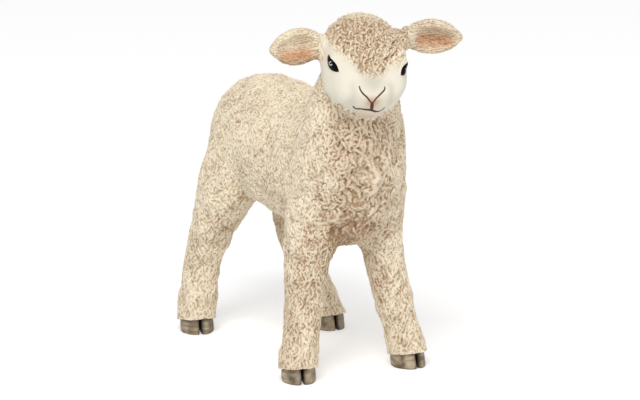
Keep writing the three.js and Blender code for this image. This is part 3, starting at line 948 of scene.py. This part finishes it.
def on_muzzle(x, z):
    """Where a line from straight ahead meets the skin"""
    start = head_place @ (Vector((x, -20, z)) * MM)
    return np.array(head_surface.ray_cast(start, head_place.to_3x3() @ Vector((0, 1, 0)))[0]) / MM


def smooth_path(points, steps=6):
    """More points on a path, rounded by a Catmull-Rom curve"""
    ends = [points[0] * 2 - points[1], *points, points[-1] * 2 - points[-2]]
    path = []
    for a, b, c, d in zip(ends, ends[1:], ends[2:], ends[3:]):
        for step in range(steps):
            t = step / steps
            curve = 2 * b + (c - a) * t + (2 * a - 5 * b + 4 * c - d) * t**2 + (3 * b - a - 3 * c + d) * t**3
            path.append(0.5 * curve)
    return np.array([*path, points[-1]])


head_tree = tree_of(head_points)
line_paint = np.full(len(head_points), -2.0)
groove = np.zeros(len(head_points))
for half, depth, marks in LINES:
    path = smooth_path([on_muzzle(*mark) for mark in marks])
    near, gap, down = gaps_to_path(head_points, head_tree, path, half * 3)
    taper = half * (0.45 + 0.55 * np.sqrt(np.sin(math.pi * (0.02 + 0.96 * down))))
    line_paint[near] = np.maximum(line_paint[near], (1 - gap / taper).max(1))
    groove[near] = np.maximum(groove[near], depth * bell(gap.min(1), half))
print("the face has", len(LINES), "painted lines")

# %% [markdown]
# ## Eyes
#
# An eye is a glossy black almond. Its outline is a sphere pinched to a point at both ends, flattened
# to a bead that stands a little out of its hollow. The skin rises to a thin lid all round it.

# %% Eye frames
EYE_CORNERS = {  # outer and inner, in the head's frame
    "right": ((-5.08, -2.73, 1.79), (-4.04, -5.21, 1.51)),
    "left": ((5.14, -3.00, 1.46), (3.84, -5.58, 1.36)),
}
EYE_LONG, EYE_DEEP, EYE_UP = 1.38, 0.30, 0.40
EYE_DOWN = {"right": 0.84, "left": 0.68}
GLINT_X, GLINT_Y, GLINT_RADIUS, GLINT_WIDTH = -0.16, 0.02, 0.21, 0.06
eye_frames = {}
for name, corners in EYE_CORNERS.items():
    side = EARS[name][0]
    outer, inner = (head_place @ (Vector(corner) * MM) for corner in corners)
    place, normal, _, _ = head_surface.find_nearest((outer + inner) / 2)
    long_way = inner - outer
    long_way = (long_way - normal * long_way.dot(normal)).normalized()
    up_way = normal.cross(long_way) * -side
    axes = Matrix((long_way, up_way, normal)).transposed()
    eye_frames[name] = Matrix.Translation(place) @ axes.to_4x4()
    print(name, "eye at", [round(value / MM, 2) for value in place])


def almond(name, u, v):
    """A point of the unit circle, moved onto the almond outline, in millimetres. The upper lid is
    flatter than the lower one, and highest near the outer corner"""
    pinch = np.sqrt(np.maximum(1 - u * u, 0))
    return u * EYE_LONG, v * pinch * np.where(v > 0, EYE_UP * (1 - 0.35 * u), EYE_DOWN[name])


# %% Eye beads


def eye_bead(name):
    """A sphere pinched into an almond that follows the face, and noted where its glint is painted"""
    bm = bmesh.new()
    bmesh.ops.create_uvsphere(bm, u_segments=48, v_segments=32, radius=1)
    glint = bm.verts.layers.float.new("glint")
    normal = eye_frames[name].to_3x3() @ Vector((0, 0, 1))
    for vert in bm.verts:
        u, v, w = vert.co
        x, y = almond(name, u, v)
        over = eye_frames[name] @ (Vector((x, y, 3)) * MM)
        place = head_surface.ray_cast(over, -normal)[0]
        vert.co = place + normal * ((0.05 + w * (0.35 + 0.65 * math.sqrt(max(1 - u * u, 0))) * EYE_DEEP) * MM)
        ring = Vector((x - GLINT_X, y - GLINT_Y))
        around = math.degrees(math.atan2(ring.y, ring.x))
        vert[glint] = -2.0 if 20 < around < 110 else 1 - abs(ring.length - GLINT_RADIUS) / GLINT_WIDTH
    if eye_frames[name].determinant() < 0:
        bmesh.ops.reverse_faces(bm, faces=bm.faces)
    return mesh_of(bm, f"{name}_eye_bead")


eye_pieces = [finish_piece(eye_bead(name), "eye", f"{name}_eye") for name in eye_frames]
print("an eye is", EYE_LONG * 2, "mm long")

# %% Lids
LID_WIDTH, LID_HEIGHT, LID_STEP, SOCKET_DEPTH = 0.16, 0.14, 0.10, 0.25
lid = np.zeros(len(head_points))
for name, eye_frame in eye_frames.items():
    turns = np.linspace(0, 2 * math.pi, 41)
    rim = [eye_frame @ (Vector((x, y, 0.08)) * MM) for x, y in zip(*almond(name, np.cos(turns), np.sin(turns)))]
    path = np.array([head_surface.find_nearest(point)[0] for point in rim]) / MM
    near, gap, _ = gaps_to_path(head_points, head_tree, path, 1.0)
    x, y, _ = seen_from(eye_frame, head_points[near]).T
    rim_y = np.maximum(1 - (x / EYE_LONG) ** 2, 1e-6) * np.where(
        y > 0, EYE_UP * (1 - 0.35 * x / EYE_LONG), EYE_DOWN[name]
    )
    inside = (np.abs(x) < EYE_LONG) & (np.abs(y) < rim_y)
    edge = bell(gap.min(1), LID_WIDTH)
    lid[near] = np.where(inside, LID_STEP * edge - SOCKET_DEPTH * (1 - edge), LID_HEIGHT * edge)
print("the lids stand up by", round(float(lid.max()), 2), "mm")

# %% Shaping and noting the head
face_share = (1 - cap_share) * (1 - ear_share)
height = head_kinds[:, 3]
wool_stand = cap_share * (head_relief - 0.45) * height * 1.25 + ear_share * (head_relief - 0.5) * height
lifted = head_points + head_normals * (wool_stand + (1 - cap_share) * (lid - groove))[:, None]
set_points(head_mesh, lifted)
note_wool(head_mesh, head_relief, head_kinds)
fur_tone = attribute_of(head_mesh, "relief")
set_attribute(head_mesh, "relief", fur_tone + ear_share * 0.25 * (0.5 - fur_tone))  # fur is a fine, even coat
set_attribute(head_mesh, "wool", np.maximum(cap_share, ear_share))
set_attribute(head_mesh, "line", line_paint)
x, y, z = head_local.T
nose_pink = bell(x, 0.9) * bell(z + 0.1, 0.8) * soft_step(-y, 7.5, 8.6)
chin_pink = 0.5 * bell(x, 1.6) * bell(z + 3.0, 1.0) * soft_step(-y, 6.0, 7.5)
# Painted shade: darker on the bridge of the nose below the forelock, and in bands beside the muzzle
bridge = bell(x, 1.5) * soft_step(z, 0.9, 1.7) * soft_step(-y, 6.0, 7.0)
beside = 0.45 * bell(np.abs(x) - 2.5, 0.5) * soft_step(-y, 6.2, 7.4) * soft_step(z, -1.6, -0.4)
set_attribute(head_mesh, "shade", np.maximum(bridge, beside) * face_share)
set_attribute(head_mesh, "pink", np.maximum(np.maximum(nose_pink, chin_pink) * face_share, ear_pink))
head_pieces = cut_up(head_mesh, head_parts, "skin", ["face", "ear", "ear"])

# %% [markdown]
# ## Paint for the wool
#
# The figure is cast in cream plastic, sprayed, and washed with a thin tan paint that runs off the
# ridges and stays in the hollows. So the colour follows the relief. The wash is stronger on the chest,
# where it turns a warm brown, and its amount changes in soft patches everywhere. Low on the chest
# between the front legs, and on the front legs, most on the right one, extra wash is painted shade.

# %% The wash as a node group
CREST, STAINED_CREST = linear(250, 236, 213), linear(226, 210, 184)
HOLLOW, DEEP_HOLLOW, BLUSH = linear(208, 190, 154), linear(164, 133, 101), linear(188, 134, 110)
wash_group = bpy.data.node_groups.new("paint_wash", "ShaderNodeTree")
for title, way, kind in (("Relief", "INPUT", "Float"), ("Wash", "INPUT", "Float"), ("Color", "OUTPUT", "Color")):
    wash_group.interface.new_socket(title, in_out=way, socket_type=f"NodeSocket{kind}")
node = node_maker(wash_group)
start, end = node("NodeGroupInput", {}), node("NodeGroupOutput", {})
place = node("ShaderNodeTexCoord", {}).outputs["Object"]
patches = cloud(node, place, 260.0, 3.0, 0.3, 0.7, -0.35, 0.35)
# The amount of wash also carries the painted shade low on the chest and on the front legs
amount = math_of(node, "ADD", start.outputs["Wash"], patches, use_clamp=True)
grain = cloud(node, place, 3200.0, 2.0, 0.3, 0.7, -0.22, 0.22)
grained = math_of(node, "ADD", start.outputs["Relief"], grain)
blotches = cloud(node, place, 560.0, 2.0, 0.52, 0.66, 0.0, 0.4)
hollow = mixed(node, amount, HOLLOW, mixed(node, blotches, DEEP_HOLLOW, BLUSH))
crest = mixed(node, amount, CREST, STAINED_CREST)
crest_share = ranged(node, grained, 0.15, 0.85, interpolation_type="SMOOTHSTEP")
wash_group.links.new(mixed(node, crest_share, hollow, crest), end.inputs["Color"])
print("the wash has", len(wash_group.nodes), "nodes")

# %% Wool paint


def attribute(node, name):
    """One of the numbers that the skin holds at each point"""
    return node("ShaderNodeAttribute", {}, attribute_name=name).outputs["Fac"]


def washed_wool(node):
    """The washed colour of the wool, from what its skin holds"""
    inputs = {"Relief": attribute(node, "relief"), "Wash": attribute(node, "wash")}
    return node("ShaderNodeGroup", inputs, node_tree=wash_group).outputs["Color"]


wool_paint, shader, node, link = new_material("wool_paint", 0.75, 0.25)
link(washed_wool(node), shader.inputs["Base Color"])
paint_on(wool_pieces, wool_paint)

# %% [markdown]
# ## Paint for the face and the ears
#
# The face is a smooth off-white, with painted shade on the bridge of the nose and beside the muzzle, and
# sprayed pink at the nose, the chin and inside the ears. The same material has the washed wool of the
# cap and the fur, and the brown lines go over everything.

# %% Face paint
face_paint, shader, node, link = new_material("face_and_ear_paint", 0.6, 0.3)
place = node("ShaderNodeTexCoord", {}).outputs["Object"]
bare = mixed(node, cloud(node, place, 240.0, 2.0), linear(221, 214, 195), linear(236, 230, 214))
# Painted shade on the bridge of the nose and beside the muzzle
bare = mixed(node, attribute(node, "shade"), bare, linear(204, 197, 181))
bare = mixed(node, attribute(node, "pink"), bare, linear(206, 158, 128))
tint = {0: attribute(node, "pink"), 6: washed_wool(node), 7: linear(225, 189, 166)}
furred = node("ShaderNodeMix", tint, data_type="RGBA", blend_type="MULTIPLY").outputs[2]
skin = mixed(node, attribute(node, "wool"), bare, furred)
lined = ranged(node, attribute(node, "line"), -0.15, 0.25)
link(mixed(node, lined, skin, linear(80, 55, 38)), shader.inputs["Base Color"])
paint_on(head_pieces, face_paint)

# %% Eye gloss
eye_gloss, shader, node, link = new_material("eye_gloss", 0.15, 0.1)
# Painted reflection: a white ring of glint on the black of the eye
glint = ranged(node, attribute(node, "glint"), -0.2, 0.2)
link(mixed(node, glint, linear(4, 3, 4), linear(214, 218, 232)), shader.inputs["Base Color"])
paint_on(eye_pieces, eye_gloss)

# %% [markdown]
# ## Tail
#
# The tail hangs down the rump as a moulding of its own, so it gets a skin of its own. Its locks are
# like those of the legs.

# %% Tail
tail_coarse = even_skin(node_copies("tail", grow=0.1), voxel=0.45, smoothing=5)
tail_mesh = grow_wool(tail_coarse, "tail_wool", lambda points, _: mixed_kinds({"leg": np.ones(len(points))}), seed=3)
paint_on([finish_piece(tail_mesh, "wool", "tail")], wool_paint)

# %% [markdown]
# ## Hooves
#
# A hoof has two claws with a cleft between them. The CAD node has their shape with hard edges. A
# fine remesh rounds the edges, and the claws are then drawn to softer tips and flattened on the
# ground again. The horn has fine rings that run round it, pale and dark smudges, and is darker along
# the cleft.

# %% Hoof skins
def hoof_mesh(name):
    """A hoof with rounded claws, and how deep in the cleft each point is"""
    foot = foot_frame(name)
    bm = even_skin(node_copies(f"{name}_hoof", grow=0.06), voxel=0.14, smoothing=4)
    cleft = bm.verts.layers.float.new("cleft")
    to_foot = foot.inverted()
    for vert in bm.verts:
        x, y, z = (to_foot @ vert.co) / MM
        front = float(soft_step(-y, 0.2, 2.4))
        x -= 0.08 * front * math.copysign(1, x) * (1 - abs(x) / 2.4)
        y += 0.28 * front * (abs(abs(x) - 1.0) ** 2)
        z = max(z + 0.10 * front * float(soft_step(abs(x), 1.3, 2.2)), 0.0)
        vert[cleft] = float(math.exp(-((x / 0.42) ** 2)) * soft_step(-y, -0.4, 0.6))
        vert.co = foot @ (Vector((x, y, z)) * MM)
    return mesh_of(after_modifier(bm, "SUBSURF", levels=1, render_levels=1), f"{name}_hoof_horn")


hoof_pieces = [finish_piece(hoof_mesh(name), "hoof", f"{name}_hoof") for name in TOE_OUT]
print("hooves:", [len(piece.data.polygons) for piece in hoof_pieces], "faces")

# %% Horn paint
horn, shader, node, link = new_material("hoof_horn", 0.55)
place = node("ShaderNodeTexCoord", {}).outputs["Object"]
stretched = node("ShaderNodeMapping", {"Vector": place, "Scale": (200.0, 200.0, 2000.0)}).outputs["Vector"]
rings = node("ShaderNodeTexNoise", {"Vector": stretched, "Scale": 1.0, "Detail": 3.0}).outputs["Fac"]
smudge = cloud(node, place, 700.0, 4.0, 0.35, 0.65)
colour = mixed(node, smudge, linear(98, 82, 58), linear(190, 174, 148))
colour = mixed(node, ranged(node, rings, 0.42, 0.60, to_high=0.65), colour, linear(98, 82, 60))
# Darker along the cleft between the claws
colour = mixed(node, attribute(node, "cleft"), colour, linear(52, 40, 29))
link(colour, shader.inputs["Base Color"])
ring_bump = node("ShaderNodeBump", {"Strength": 0.25, "Distance": 0.0001, "Height": rings})
link(ring_bump.outputs["Normal"], shader.inputs["Normal"])
paint_on(hoof_pieces, horn)

# %% Sizes and the end
low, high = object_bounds()
